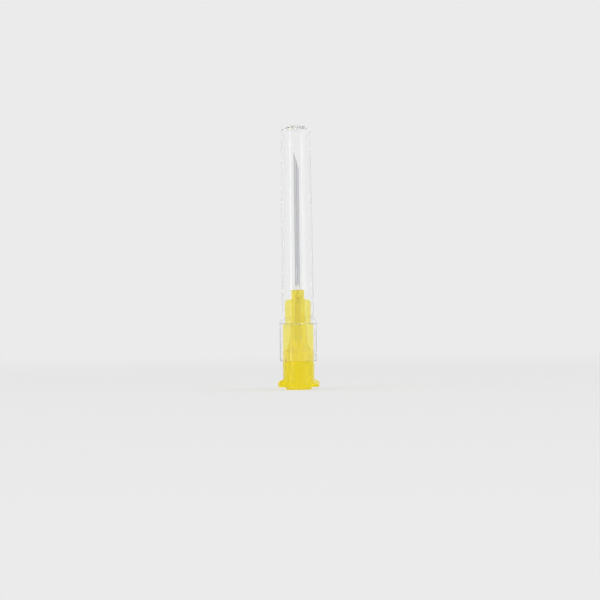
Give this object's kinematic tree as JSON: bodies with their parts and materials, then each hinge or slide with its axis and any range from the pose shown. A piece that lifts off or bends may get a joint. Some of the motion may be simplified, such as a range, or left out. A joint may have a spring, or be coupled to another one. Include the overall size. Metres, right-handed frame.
{
  "type": "hypodermic needle",
  "caption": "Single-use hypodermic needle with a yellow hub, locking lugs, a steel tube with a bevelled point and a clear pull-off cap.",
  "frame": {"origin": "centre of the hub's open end, on which the capped needle stands", "axes": "+Z along the steel tube towards its point, +X through one of the two locking lugs"},
  "size_m": [0.0078, 0.0068, 0.0494],
  "materials": {
    "hub_plastic": "clear yellow moulded polypropylene",
    "tube_steel": "drawn stainless steel, polished",
    "glue": "cured clear epoxy",
    "cap_plastic": "clear moulded polypropylene"
  },
  "bodies": {
    "needle": {"hub": "hub_plastic", "cannula": "tube_steel", "adhesive_bead": "glue"},
    "cap": {"cap": "cap_plastic"}
  },
  "joints": [
    {"name": "cap_pull", "type": "slide", "parent": "needle", "child": "cap", "axis": [0, 0, 1], "range_m": [0, 0.042]}
  ]
}
